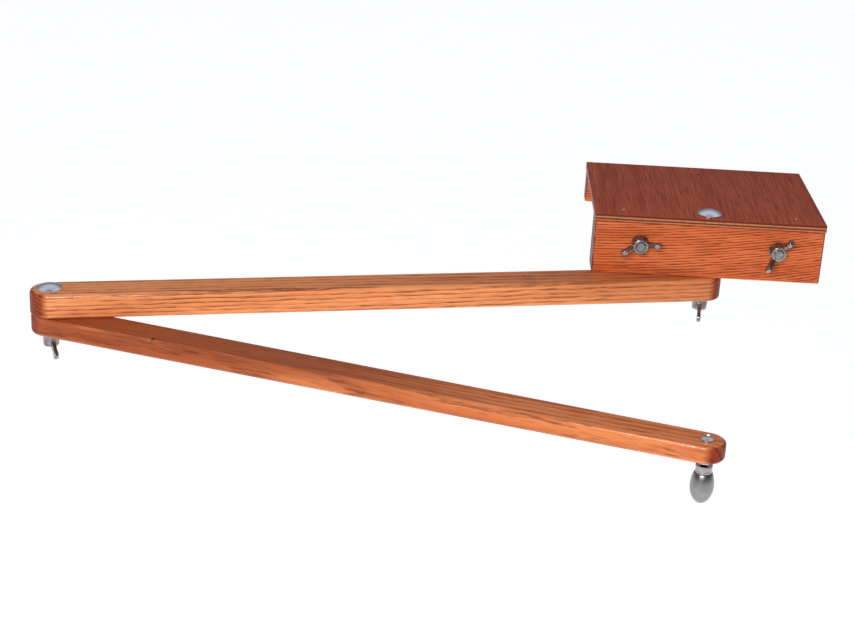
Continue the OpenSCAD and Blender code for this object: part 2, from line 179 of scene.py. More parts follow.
# %% Helpers that write node trees
class Tree:
    """A material whose nodes are added one call at a time."""

    def __init__(self, name):
        self.material = bpy.data.materials.new(name)
        self.material.use_nodes = True
        self.nodes = self.material.node_tree.nodes
        self.links = self.material.node_tree.links
        self.shader = self.nodes["Principled BSDF"]
        place = self.nodes.new("ShaderNodeTexCoord")
        self.own, self.facing = place.outputs["Object"], place.outputs["Normal"]

    def feed(self, socket, value):
        if isinstance(value, bpy.types.NodeSocket):
            self.links.new(value, socket)
        elif isinstance(value, tuple) and len(value) == 3 and socket.type == "RGBA":
            socket.default_value = (*value, 1)
        else:
            socket.default_value = value

    def add(self, kind, inputs, **settings):
        """A new node: its settings first, then what feeds its inputs."""
        node = self.nodes.new("ShaderNode" + kind)
        for name, value in settings.items():
            setattr(node, name, value)
        for name, value in inputs.items():
            self.feed(node.inputs[name], value)
        return node

    def shade(self, inputs):
        """Feeds the shader's own sockets by their names."""
        for name, value in inputs.items():
            self.feed(self.shader.inputs[name], value)

    def maths(self, kind, a, b=0.0, c=0.0, clamp=False):
        return self.add("Math", {0: a, 1: b, 2: c}, operation=kind, use_clamp=clamp).outputs[0]

    def times(self, a, b, clamp=False):
        return self.maths("MULTIPLY", a, b, clamp=clamp)

    def plus(self, a, b):
        return self.maths("ADD", a, b)

    def less(self, a, b):
        return self.maths("SUBTRACT", a, b)

    def laid(self, vector, turn, tilt=0.0, start=(0, 0, 0)):
        """A place or a direction, turned so that X runs along the grain."""
        return self.add("Mapping", {"Vector": vector, "Location": start, "Rotation": (0, tilt, turn)},
                        vector_type="TEXTURE").outputs[0]

    def cloud(self, vector, scale=1.0, detail=2.0, rough=0.5):
        return self.add("TexNoise", {"Vector": vector, "Scale": scale, "Detail": detail,
                                     "Roughness": rough}).outputs["Fac"]

    def drawn_out(self, vector, scale, **settings):
        """A cloud with its own scale for each direction."""
        return self.cloud(self.add("Mapping", {"Vector": vector, "Scale": scale}).outputs[0], **settings)

    def streaks(self, vector, along, across, **settings):
        """A cloud drawn out along the grain."""
        return self.drawn_out(vector, (along, across, across), **settings)

    def parts(self, vector):
        return self.add("SeparateXYZ", {0: vector}).outputs

    def ramp(self, value, stops):
        """A colour or a grey for each value. Stops are (place, colour)."""
        node = self.add("ValToRGB", {0: value})
        marks = node.color_ramp.elements
        while len(marks) < len(stops):
            marks.new(0.5)
        for mark, (place, colour) in zip(marks, stops):
            mark.position = place
            mark.color = (*colour, 1) if isinstance(colour, tuple) else (colour,) * 3 + (1,)
        return node.outputs["Color"]

    def span(self, value, low, high, to_low=0.0, to_high=1.0):
        """Eases from one number to another while the value goes from low to high."""
        return self.add("MapRange", {"Value": value, "From Min": low, "From Max": high, "To Min": to_low,
                                     "To Max": to_high}, interpolation_type="SMOOTHSTEP").outputs[0]

    def mix(self, factor, a, b):
        return self.add("Mix", {"Factor": factor, "A": a, "B": b}, data_type="RGBA").outputs["Result"]

    def tag(self, name):
        """A number that the mesh code wrote on each point."""
        return self.add("Attribute", {}, attribute_name=name).outputs["Fac"]

    def relief(self, height, depth, strength):
        return self.add("Bump", {"Height": height, "Distance": depth, "Strength": strength}).outputs[0]


def tinted(colour, share, most=1.0):
    """The colour times one share, or times one share for each channel."""
    shares = share if isinstance(share, tuple) else (share,) * 3
    return tuple(min(most, v * s) for v, s in zip(colour, shares))


print("helpers ready")


# %% [markdown]
# ## Stained ash
# Ash is ring-porous. Each year starts with a band of large open pores, which drink stain and turn
# dark, and ends with dense pale wood. A board is a slice through those rings, so on a face that
# cuts them squarely they show as fine parallel lines, and on a face that runs with them as broad
# soft flames. A picture of grain wrapped round the board would break at its corners. Here the
# rings are planes in space, slightly warped, and each face shows where it cuts them, as real wood
# does. The end grain drinks most stain, so faces across the grain go darker; the ends are also
# painted darker as shade, since they turn away from the front light.

# %% The ash finish
YEAR = [(0.0, 0.30), (0.06, 1.0), (0.22, 0.85), (0.42, 0.26), (0.70, 0.04), (1.0, 0.0)]


def stained_ash(name, turn, rings, across, upright, start, warp, pale, deep, tilt=0.0, bow=0.0,
                flame=0.5, dark=0.85, ruddy=None, knot=None):
    """Open-grained ash, in metres. rings is the width of a year.

    across and upright aim the rings, start and tilt place the board in its tree, and warp and bow
    bend the rings. flame is the strength of the redder figure and dark that of the ring lines.
    ruddy is (near, far, share) for an end that took more stain. knot is (along, up, depth).
    """
    t = Tree(name)
    grain = t.laid(t.own, turn, tilt, start)
    place = t.parts(grain)
    # slow wander of the rings along the board, and a quicker one of each edge
    wander = t.times(t.less(t.streaks(grain, 2.3, 14, detail=1), 0.5), warp * 4)
    jitter = t.times(t.less(t.streaks(grain, 28, 330, detail=3), 0.5), 0.85)
    rows = t.maths("MULTIPLY_ADD", place["Y"], across / rings, t.times(place["Z"], upright / rings))
    year = t.plus(t.plus(rows, wander), jitter)
    if bow:
        # the board was cut a little across the grain, so the rings climb along it
        year = t.less(year, t.times(t.times(place["X"], place["X"]), bow / rings))
    early = t.ramp(t.maths("FRACT", year), YEAR)
    # some years are wide and dark, others hardly show, and every line is broken up by its pores
    vigour = t.span(t.streaks(grain, 4, 150), 0.34, 0.62, 0.50, 1.0)
    fibres = t.streaks(grain, 22, 900, detail=3, rough=0.6)
    pores = t.span(t.streaks(grain, 70, 1250), 0.54, 0.64)
    pore = t.times(pores, t.maths("MULTIPLY_ADD", early, 0.70, 0.30), clamp=True)
    broken = t.span(t.streaks(grain, 75, 620), 0.36, 0.60, 0.42, 1.0)
    line = t.times(t.times(early, vigour), broken)
    # the broad figure, redder and browner in places
    figure = t.span(t.streaks(grain, 7, 75, detail=3), 0.34, 0.68)
    body = t.mix(t.times(figure, flame), pale, tinted(pale, (0.80, 0.62, 0.52)))
    if ruddy:
        # redder and darker towards the near end, with a ragged change
        near, far, share = ruddy
        ragged = t.times(t.less(t.streaks(grain, 6, 110), 0.5), 0.45)
        reach = t.span(t.plus(place["X"], ragged), near, far, share, 0.0)
        body = t.mix(reach, body, tinted(pale, (0.40, 0.23, 0.16)))
    wood = t.mix(t.times(line, dark, clamp=True), body, deep)
    wood = t.mix(t.times(pore, 0.75), wood, tinted(deep, 0.45))
    wood = t.mix(t.span(fibres, 0.2, 0.8, 0.0, 0.34), wood, tinted(pale, 0.62))
    if knot:
        along, up, depth = knot
        high = t.times(t.less(place["Z"], up), 1.7)
        away = t.plus(t.maths("POWER", t.less(place["X"], along), 2), t.maths("POWER", high, 2))
        inside = t.span(t.maths("SQRT", away), 0.0006, 0.0022, 1.0, 0.0)
        shallow = t.span(place["Y"], depth, depth + 0.004, 1.0, 0.0)
        wood = t.mix(t.times(inside, shallow), wood, tinted(deep, 0.25))
    # end grain: the facing of the surface, turned into the grain's direction. It darkens the ends
    # for the stain they soak up, and as painted shade, since they turn away from the front light
    end = t.span(t.maths("ABSOLUTE", t.parts(t.laid(t.facing, turn, tilt))["X"]), 0.0, 0.52)
    soaked_and_shaded = t.mix(early, tinted(deep, (1.5, 0.8, 0.5)), tinted(deep, (0.7, 0.4, 0.3)))
    wood = t.mix(t.times(end, 0.92), wood, soaked_and_shaded)
    # rubbed edges, where the stain is thinner; the lighter rounded edges are also a painted highlight
    rubbed_and_highlight = t.span(t.streaks(grain, 24, 200, detail=3), 0.45, 0.75, 0.0, 0.42)
    wood = t.mix(t.times(t.tag("edge"), rubbed_and_highlight), wood, tinted(pale, 1.25))
    height = t.less(t.times(fibres, 0.30), t.plus(pore, t.times(line, 0.25)))
    # the varnish pools on the rounded edges and shines there; the flats were rubbed down
    t.shade({"Base Color": wood,
             "Roughness": t.maths("MULTIPLY_ADD", pore, 0.25, t.span(fibres, 0.2, 0.8, 0.34, 0.46)),
             "Coat Weight": t.span(t.tag("edge"), 0.15, 0.85, 0.03, 0.60),
             "Coat Roughness": 0.14, "Specular IOR Level": 0.16,
             "Normal": t.relief(height, 0.00012, 0.55)})
    return t.material


upper_ash = stained_ash(
    "ash_upper_link", upper_turn, 0.0027, 0.50, 0.86, (0.013, 0.004, 0.021), 0.55,
    (0.95, 0.345, 0.128), (0.17, 0.030, 0.010), tilt=0.010, dark=1.0, ruddy=(0.05, 0.34, 0.42))
lower_ash = stained_ash(
    "ash_lower_link", lower_turn, 0.0050, 0.990, 0.14, (elbow.x, elbow.y, 0.009), 1.9,
    (0.79, 0.252, 0.086), (0.17, 0.026, 0.008), tilt=0.004, flame=0.9, ruddy=(0.18, 0.42, 0.92),
    knot=(0.089, -0.0692, -0.011))
apron_ash = stained_ash(
    "ash_bracket", 0.0, 0.0021, 0.22, 0.97, (-0.12, 0.05, 0.013), 0.5,
    (0.81, 0.186, 0.054), (0.12, 0.014, 0.005), bow=0.48, flame=1.0, dark=1.3)
bar_ash = stained_ash(
    "ash_pressure_bar", 0.0, 0.0032, 0.6, 0.8, (0.7, 0.15, 0.03), 0.8,
    (0.64, 0.19, 0.07), (0.16, 0.03, 0.012), tilt=0.02)
print("ash finishes:", upper_ash.name, lower_ash.name, apron_ash.name, bar_ash.name)


# %% [markdown]
# ## The plywood plate
# The plate is plywood with a mahogany face. The face veneer is dark red-brown with short fine
# streaks that run from front to back. At the edges the plies show: the ones that run along the
# edge stay pale, and the crossed ones show end grain and go dark. Height in the plate picks the
# ply, and the facing of the surface tells an edge from a face. The lowest band is painted dark as
# the shadow line under the plate's edge.

# %% The plate's finish
DARK_PLY_AND_SHADOW, PALE_PLY, CORE_PLY = (0.085, 0.018, 0.010), (0.60, 0.22, 0.090), (0.20, 0.048, 0.022)
# the lowest band, from 0 to 0.11 of the plate's height, is a painted shadow line under the plate's edge
PLIES_AND_SHADOW_LINE = [(0.0, DARK_PLY_AND_SHADOW), (0.11, DARK_PLY_AND_SHADOW), (0.15, PALE_PLY), (0.26, PALE_PLY), (0.30, CORE_PLY),
         (0.36, DARK_PLY_AND_SHADOW), (0.47, CORE_PLY), (0.52, PALE_PLY), (0.64, PALE_PLY), (0.69, CORE_PLY),
         (0.76, DARK_PLY_AND_SHADOW), (1.0, CORE_PLY)]


def faced_plywood(name):
    t = Tree(name)
    grain = t.laid(t.own, math.pi / 2, start=(0.03, 0.02, 0))
    streaks = t.streaks(grain, 32, 900, detail=4, rough=0.62)
    bands = t.streaks(grain, 6, 60, detail=3)
    ribbon = t.streaks(grain, 14, 230)
    face = t.mix(t.span(streaks, 0.30, 0.68), (0.23, 0.036, 0.013), (0.56, 0.106, 0.042))
    face = t.mix(t.span(bands, 0.35, 0.68, 0.0, 0.55), face, (0.30, 0.038, 0.014))
    face = t.mix(t.span(ribbon, 0.42, 0.62, 0.0, 0.35), face, (0.54, 0.105, 0.044))
    dots = t.span(t.streaks(grain, 170, 2600), 0.60, 0.72)
    face = t.mix(t.times(dots, 0.7), face, (0.045, 0.012, 0.009))
    # the plies, from the underside up; the lowest dark band is a painted shadow line under the plate's edge
    ripple = t.times(t.less(t.drawn_out(t.own, (30, 30, 400)), 0.5), 0.05)
    raised = t.less(t.parts(t.own)["Z"], plate_low.z)
    level = t.plus(t.maths("DIVIDE", raised, plate_high.z - plate_low.z), ripple)
    fine = t.drawn_out(t.own, (260, 260, 1500), detail=3)
    plies_and_shadow = t.mix(t.span(fine, 0.35, 0.7, 0.0, 0.5), t.ramp(level, PLIES_AND_SHADOW_LINE), (0.16, 0.035, 0.016))
    flat = t.span(t.maths("ABSOLUTE", t.parts(t.facing)["Z"]), 0.45, 0.80)
    t.shade({"Base Color": t.mix(flat, plies_and_shadow, face),
             "Roughness": t.span(streaks, 0.25, 0.75, 0.50, 0.36),
             "Specular IOR Level": 0.10, "Coat Weight": 0.05, "Coat Roughness": 0.30,
             "Normal": t.relief(t.less(t.times(streaks, 0.5), dots), 0.00010, 0.5)})
    return t.material


plate_finish = faced_plywood("mahogany_faced_plywood")
print("plate finish:", plate_finish.name)


# %% [markdown]
# ## Plated steel, forged wing nuts and turned aluminium
# Bright zinc is a thin, slightly cloudy mirror with fine rub marks. The wing nuts are cast or
# forged and tumbled before plating, so they are rougher, with dark hollows and pale rubbed rims.
# The knob is turned from bar and left satin: the tool leaves faint rings round it. Its collar is
# duller, the screws are bare steel, and the small screw's driver recess is painted dark as the
# shade in it. All six are the same tree with other numbers: a cloud for the colour, a finer one
# for the gloss.

# %% The metal finishes
RECESS_INNER, RECESS_OUTER = 2.3, 2.7
RECESS_FLOOR, RECESS_LIP = 0.9 * MM, 0.6 * MM
# painted shade for the small screw's driver recess
RECESS_SHADE = (0.02, 0.02, 0.02)


def plated(name, light, dull, cloud, gloss, relief, rings=0.0, hollow=None):
    """A metal. cloud is the scale of its patches, gloss its least and most roughness."""
    t = Tree(name)
    at = t.parts(t.own)
    blotch = t.cloud(t.own, scale=cloud, detail=4, rough=0.6)
    fine = t.cloud(t.own, scale=cloud * 9, detail=3, rough=0.65)
    colour = t.mix(t.span(blotch, 0.30, 0.72), light, dull)
    colour = t.mix(t.span(fine, 0.55, 0.85, 0.0, 0.30), colour, tinted(dull, 0.5))
    rubbed = t.times(t.tag("edge"), t.span(fine, 0.25, 0.6, 1.0, 0.4))
    colour = t.mix(t.times(rubbed, 0.5), colour, tinted(light, 1.35, most=0.95))
    if hollow:
        # painted shade: a driver recess is painted dark below a height, near the screw's axis, where shade
        # falls in it
        squares = [t.maths("POWER", t.maths("ABSOLUTE", t.less(at[axis], centre)), 2)
                   for axis, centre in (("X", hollow.x), ("Y", hollow.y))]
        near = t.span(t.plus(*squares), RECESS_INNER ** 2 * MM ** 2, RECESS_OUTER ** 2 * MM ** 2, 1.0, 0.0)
        low = t.span(at["Z"], hollow.z - RECESS_FLOOR, hollow.z - RECESS_LIP, 1.0, 0.0)
        colour = t.mix(t.times(near, low), colour, RECESS_SHADE)
    height = fine
    if rings:
        wave = t.maths("SINE", t.times(at["Z"], rings))
        height = t.plus(t.times(fine, 0.5), t.times(wave, 0.5))
    cloudy = t.plus(t.times(blotch, 0.6), t.times(fine, 0.4))
    t.shade({"Base Color": colour, "Metallic": 1.0, "Roughness": t.span(cloudy, 0.3, 0.7, *gloss),
             "Normal": t.relief(height, relief, 0.6)})
    return t.material


screw_top = Vector((knob.x, knob.y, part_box("knob_screw")[1].z))
bright_zinc = plated("bright_zinc", (0.80, 0.83, 0.90), (0.70, 0.73, 0.80), 90, (0.16, 0.24), 0.000004)
wing_zinc = plated("tumbled_zinc", (0.36, 0.35, 0.33), (0.15, 0.145, 0.135), 210, (0.16, 0.34), 0.00006)
satin_aluminium = plated("satin_aluminium", (0.34, 0.332, 0.336), (0.27, 0.266, 0.27), 120,
                         (0.27, 0.34), 0.000014, rings=15000)
dull_zinc = plated("ferrule_aluminium", (0.52, 0.50, 0.515), (0.38, 0.37, 0.38), 260, (0.34, 0.48),
                   0.00005)
screw_steel = plated("screw_steel", (0.34, 0.34, 0.35), (0.20, 0.20, 0.205), 240, (0.20, 0.34), 0.00004)
head_zinc = plated("screw_head_zinc", (0.70, 0.70, 0.72), (0.55, 0.55, 0.57), 120, (0.18, 0.28),
                   0.00001, hollow=screw_top)
print("metal finishes ready")


# %% [markdown]
# ## From points to a piece
# Every piece starts as a small mesh built point by point. These helpers turn it into an object,
# read it back after a modifier has worked on it, and finish it: shaded smooth except where two
# faces meet at a clear angle, with its finish, riding on its body, in place of its plain solid.

# %% Helpers that finish a mesh
def as_object(name, bm):
    mesh = bpy.data.meshes.new(name)
    bm.to_mesh(mesh)
    bm.free()
    made = bpy.data.objects.new(name, mesh)
    bpy.context.collection.objects.link(made)
    return made


def read_back(source, *tools):
    """The mesh with its modifiers applied. The object and its tools are thrown away."""
    done = bmesh.new()
    done.from_object(source, bpy.context.evaluated_depsgraph_get())
    for o in (source, *tools):
        bpy.data.objects.remove(o)
    return done


def edge_tag(bm):
    """The number on each point that says how far it stands on a rubbed edge."""
    return bm.verts.layers.float.get("edge") or bm.verts.layers.float.new("edge")


def piece(name, bm, finish, body, node, place=None, crease=32):
    bmesh.ops.recalc_face_normals(bm, faces=bm.faces)
    made = as_object(name, bm)
    mesh = made.data
    if place is not None:
        mesh.transform(place)
        if place.is_negative:
            mesh.flip_normals()  # a mirrored piece comes out with its faces turned inward
    mesh.shade_smooth()
    mesh.set_sharp_from_angle(angle=math.radians(crease))
    mesh.materials.append(finish)
    made.modifiers.new("even_shading", "WEIGHTED_NORMAL").keep_sharp = True
    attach(made, body)
    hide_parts(node)
    print(f"{name}: {len(mesh.vertices)} points on {body}")


# %% [markdown]
# ## The two links
# Each link is a flat board with round ends, and all its long edges are rounded over with a
# cutter. The mesh copies that: the plan outline is offset inwards ring by ring as it comes over
# the rounding, so the rounding has the same radius all the way round. The faces are then filled
# round the bolt holes. Hand sanding never leaves a dead straight edge, so the outline wanders in
# by a few hundredths of a millimetre. The lower link tapers in width and in thickness.

# %% Helpers for outlines and rings
SIDE_STEPS, END_STEPS, ROUND_STEPS = 90, 28, 6


def link_outline(long, r_near, r_far, inset):
    """The plan outline of a link, anticlockwise, drawn in by inset."""
    spread = math.acos((r_near - r_far) / long)
    a, b = r_near - inset, r_far - inset
    near = [(a * math.cos(w), a * math.sin(w)) for w in
            (spread + (2 * math.pi - 2 * spread) * i / END_STEPS for i in range(END_STEPS + 1))]
    far = [(long + b * math.cos(w), b * math.sin(w)) for w in
           (-spread + 2 * spread * i / END_STEPS for i in range(END_STEPS + 1))]
    points = list(near)
    for start, end, after in ((near[-1], far[0], far), (far[-1], near[0], [])):
        points += [tuple(s + (e - s) * i / SIDE_STEPS for s, e in zip(start, end))
                   for i in range(1, SIDE_STEPS)]
        points += after
    return points


def circle(x, y, radius, steps=48):
    turns = [2 * math.pi * i / steps for i in range(steps)]
    return [(x + radius * math.cos(w), y + radius * math.sin(w)) for w in turns]


def ring_of(bm, points, height):
    return [bm.verts.new((x, y, height(x, y) if callable(height) else height)) for x, y in points]


def bridge(bm, *rings):
    """Faces between each ring and the next. All have as many points."""
    for lower, upper in zip(rings, rings[1:]):
        for i in range(len(lower)):
            j = (i + 1) % len(lower)
            bm.faces.new((lower[i], lower[j], upper[j], upper[i]))


def fill_between(bm, rings):
    """A flat face bounded by the first ring, with the others as holes."""
    edges = []
    for ring in rings:
        for pair in zip(ring, ring[1:] + ring[:1]):
            edges.append(bm.edges.get(pair) or bm.edges.new(pair))
    bmesh.ops.triangle_fill(bm, use_beauty=True, use_dissolve=False, edges=edges)


def sanded(bm, seed, depth=0.06 * MM, scale=22):
    """Draws points in by up to depth, as hand sanding does."""
    bm.normal_update()
    for v in bm.verts:
        if abs(v.normal.z) < 0.95:
            wander = noise.noise(v.co * scale + Vector((seed, 0, 0)))
            v.co -= v.normal * depth * (0.5 + 0.5 * wander)


# %% The shape of a link
def link(long, r_near, r_far, t_near, t_far, round_top, round_base, holes):
    """A link along X from its near pivot at the origin, top at z = 0.

    holes: (x, radius, wide radius, wide depth).
    """
    bm = bmesh.new()
    tag = edge_tag(bm)
    run = (r_near - round_base, long + r_far - round_base)

    def base(x, y):
        share = min(1.0, max(0.0, (x - run[0]) / (run[1] - run[0])))
        return -(t_near + (t_far - t_near) * share)

    rings = []
    for top in (True, False):
        rounding = round_top if top else round_base
        for i in range(ROUND_STEPS + 1) if top else range(ROUND_STEPS, -1, -1):
            w = math.pi / 2 * i / ROUND_STEPS
            inset, drop = rounding * (1 - math.sin(w)), rounding * (1 - math.cos(w))
            height = (lambda x, y, d=drop: -d) if top else (lambda x, y, d=drop: base(x, y) + d)
            rings.append(ring_of(bm, link_outline(long, r_near, r_far, inset), height))
            for v in rings[-1]:
                v[tag] = math.sin(2 * w)
    bridge(bm, *rings[::-1])
    tops, bases = [rings[0]], [rings[-1]]
    for x, radius, wide, wide_depth in holes:
        floor, ease = base(x, 0), 0.4 * MM
        levels = [(wide + ease, 0), (wide, -ease)]
        if wide_depth:
            levels += [(wide, -wide_depth), (radius, -wide_depth)]
        levels += [(radius, floor + ease), (radius + ease, floor)]
        shaft = [ring_of(bm, circle(x, 0, r), z if z > floor + ease / 2 else base) for r, z in levels]
        bridge(bm, *shaft)
        tops.append(shaft[0])
        bases.append(shaft[-1])
    fill_between(bm, tops)
    fill_between(bm, bases)
    return bm


# %% Make the links
def standing(at, height, turn):
    return Matrix.Translation((at.x, at.y, height)) @ Matrix.Rotation(turn, 4, "Z")


OUTER_ROUND, SEAM_ROUND = 3 * MM, 2 * MM
UPPER_WIDE, LOWER_WIDE, TIP_WIDE, TIP_THICK = 28.5 * MM, 27.5 * MM, 25 * MM, 12.8 * MM
PIVOT_BORE, BOLT_BORE, NECK_BORE, SCREW_BORE = 4.05 * MM, 4.37 * MM, 5.2 * MM, 2.8 * MM
upper_thick = upper_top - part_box("upper_arm")[0].z
lower_thick = lower_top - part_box("lower_arm")[0].z
bm = link(upper_long, UPPER_WIDE / 2, UPPER_WIDE / 2, upper_thick, upper_thick, OUTER_ROUND, SEAM_ROUND,
          [(0, PIVOT_BORE, PIVOT_BORE, 0), (upper_long, BOLT_BORE, NECK_BORE, 4.9 * MM)])
sanded(bm, 3)
piece("upper_link_board", bm, upper_ash, "upper_link", "upper_arm",
      standing(swivel, upper_top, upper_turn), crease=50)
bm = link(lower_long, LOWER_WIDE / 2, TIP_WIDE / 2, lower_thick, TIP_THICK, SEAM_ROUND, OUTER_ROUND,
          [(0, PIVOT_BORE, PIVOT_BORE, 0), (lower_long, SCREW_BORE, SCREW_BORE, 0)])
sanded(bm, 11)
piece("lower_link_board", bm, lower_ash, "lower_link", "lower_arm",
      standing(elbow, lower_top, lower_turn), crease=50)


# %% [markdown]
# ## The bracket's boards
# The plate, the apron, the lip and the pressure bar are sawn square, planed, and then eased along
# every edge. A box whose edges are bevelled in several steps gives the easing. The holes are bored
# through with a cutter shape, as a drill would, and the cutter is thrown away.

# %% Helpers for boards
def board(low, high, rounding):
    bm = bmesh.new()
    bmesh.ops.create_cube(bm, size=1)
    size, centre = high - low, (high + low) / 2
    for v in bm.verts:
        v.co = Vector(a * b for a, b in zip(v.co, size)) + centre
    bmesh.ops.bevel(bm, geom=bm.edges[:], offset=rounding, segments=4, profile=0.5, affect="EDGES")
    tag, eased = edge_tag(bm), rounding * 0.98
    for v in bm.verts:
        inside = sum(lo + eased < a < hi - eased for a, lo, hi in zip(v.co, low, high))
        v[tag] = 1.0 if inside < 2 else 0.0
    return bm


def cut_away(blank, tool):
    cut = blank.modifiers.new("cut", "BOOLEAN")
    cut.operation, cut.solver, cut.object = "DIFFERENCE", "EXACT", tool
    return cut


def bored(bm, drills):
    """Cuts round holes. drills: (start point, end point, radius)."""
    blank = as_object("blank", bm)
    cutters = []
    for start, end, radius in drills:
        way = Vector(end) - Vector(start)
        centre = Matrix.Translation((Vector(start) + Vector(end)) / 2)
        aim = way.to_track_quat("Z", "Y").to_matrix().to_4x4()
        cutter = bmesh.new()
        bmesh.ops.create_cone(cutter, segments=48, radius1=radius, radius2=radius, depth=way.length,
                              cap_ends=True, matrix=centre @ aim)
        cutters.append(as_object("drill", cutter))
        cut_away(blank, cutters[-1])
    return read_back(blank, *cutters)


# %% Make the bracket's boards
BRAD_HEAD, BRAD_SINK = 1.1 * MM, 1.3 * MM
TEE_BARREL, TEE_DEEP = 5 * MM, 12 * MM
screws = [middle("clamp_screw_left"), middle("clamp_screw_right")]
brad_low, brad_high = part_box("plate_brads")
brad_places = (brad_low.x + BRAD_HEAD, brad_high.x - BRAD_HEAD)
drills = [((swivel.x, swivel.y, plate_low.z - MM), (swivel.x, swivel.y, plate_high.z + MM), NECK_BORE)]
drills += [((x, swivel.y, plate_high.z - BRAD_SINK), (x, swivel.y, plate_high.z + MM), 1.25 * MM)
           for x in brad_places]
piece("saddle_plate", bored(board(plate_low, plate_high, 0.9 * MM), drills), plate_finish, "bracket",
      "top_plate")
bores = ((apron_low.y - MM, BOLT_BORE), (apron_high.y - TEE_DEEP, TEE_BARREL + 0.03 * MM))
drills = [((s.x, start, s.z), (s.x, apron_high.y + MM, s.z), radius) for start, radius in bores for s in screws]
drills += [((swivel.x, swivel.y, apron_low.z - MM), (swivel.x, swivel.y, apron_high.z + MM), BOLT_BORE)]
piece("apron_board", bored(board(apron_low, apron_high, 1.5 * MM), drills), apron_ash, "bracket",
      "front_apron")
lip_low, lip_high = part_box("rear_lip")
piece("lip_board", board(lip_low, lip_high, 1.5 * MM), apron_ash, "bracket", "rear_lip")

# %% [markdown]
# ## The pressure bar
# Inside the saddle a loose bar spreads the screws' push along the rail. Each screw's head hangs in
# a slot that is open below, so the bar can be lifted off the heads. The solid part already has
# the right shape, slots included, so it stays and only gets its finish.

# %% Finish the pressure bar
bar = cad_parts["pressure_bar"]
if not bar.material_slots:
    bar.data.materials.append(bar_ash)
for slot in bar.material_slots:
    slot.material = bar_ash
print("pressure_bar: finished in", bar_ash.name)


# %% [markdown]
# ## Carriage bolts and clamp screws
# A carriage bolt has a low dome with a thin upright rim, a short square neck that bites the wood,
# and a thread rolled on the shank. The thread is real geometry here: the radius of each point
# rises and falls once per turn along the shank, so the crests climb round it as a screw's do.

# %% Helpers for turned and threaded shapes
TINY = 1e-9
PITCH = 25.4 / 18 * MM
BOLT_R = 3.97 * MM


def lathe(bm, profile, steps=72, tag_edges=True):
    """Turns (radius, height) points round the Z axis. A radius of zero closes the end."""
    tag = edge_tag(bm)
    rings = [ring_of(bm, circle(0, 0, r, steps) if r > TINY else [(0, 0)], z) for r, z in profile]
    for n in range(1, len(profile) - 1):
        a = Vector(profile[n]) - Vector(profile[n - 1])
        b = Vector(profile[n + 1]) - Vector(profile[n])
        if tag_edges and a.length > 0 and b.length > 0 and a.angle(b) > 0.45:
            for v in rings[n]:
                v[tag] = 0.8
    for lower, upper in zip(rings, rings[1:]):
        if len(lower) > 1 and len(upper) > 1:
            bridge(bm, lower, upper)
            continue
        for i in range(steps) if len(lower) != len(upper) else ():
            j = (i + 1) % steps
            closing = (lower[0], upper[j], upper[i]) if len(lower) == 1 else (lower[i], lower[j], upper[0])
            bm.faces.new(closing)


def closed_lathe(bm, profile):
    """A lathe whose profile ends where it starts."""
    lathe(bm, profile)
    bmesh.ops.remove_doubles(bm, verts=bm.verts, dist=1e-7)


def threaded(bm, top, bottom, radius=BOLT_R, pitch=PITCH, steps=32, rows=8, chamfer=0.8 * MM):
    """A rolled thread from top down to bottom, with a chamfered end and rows rings in each turn."""
    root = radius - 0.56 * pitch
    count = int((top - bottom) / pitch * rows)
    rings = []
    for n in range(count + 1):
        z = top - (top - bottom) * n / count
        points = []
        for i, (x, y) in enumerate(circle(0, 0, 1, steps)):
            wave = abs(2 * ((z / pitch - i / steps) % 1.0) - 1)
            crest = min(1.0, max(0.0, (wave - 0.12) / 0.72))
            r = min(root + (radius - root) * crest, radius - chamfer + (z - bottom))
            if top - z < pitch * 0.5:  # the thread runs out towards the shank
                r = root + (radius - root) * crest * (top - z) / (pitch * 0.5)
            points.append((r * x, r * y))
        rings.append(ring_of(bm, points, z))
    for upper, lower in zip(rings, rings[1:]):
        bridge(bm, lower, upper)
    bm.faces.new(rings[-1][::-1])
    bm.faces.new(rings[0])


def arc(centre_r, centre_z, radius, start, end, steps):
    """Points of an arc in (radius, height), angles in degrees."""
    turns = [math.radians(start + (end - start) * i / steps) for i in range(steps + 1)]
    return [(centre_r + radius * math.cos(w), centre_z + radius * math.sin(w)) for w in turns]


def dome_over(half, cap, rim, steps):
    """The arc of a low dome, from its top to its rim."""
    sphere = (half ** 2 + cap ** 2) / (2 * cap)
    lean = math.degrees(math.asin(half / sphere))
    return arc(0, rim + cap - sphere, sphere, 90, 90 - lean, steps)


# %% The shape of a carriage bolt
HEAD_R, HEAD_HIGH, HEAD_RIM = 18.6 * MM / 2, 3.7 * MM, 0.7 * MM
NECK_LONG, NECK_SIDE, NECK_CORNER = 4.8 * MM, 3.97 * MM, 5.16 * MM


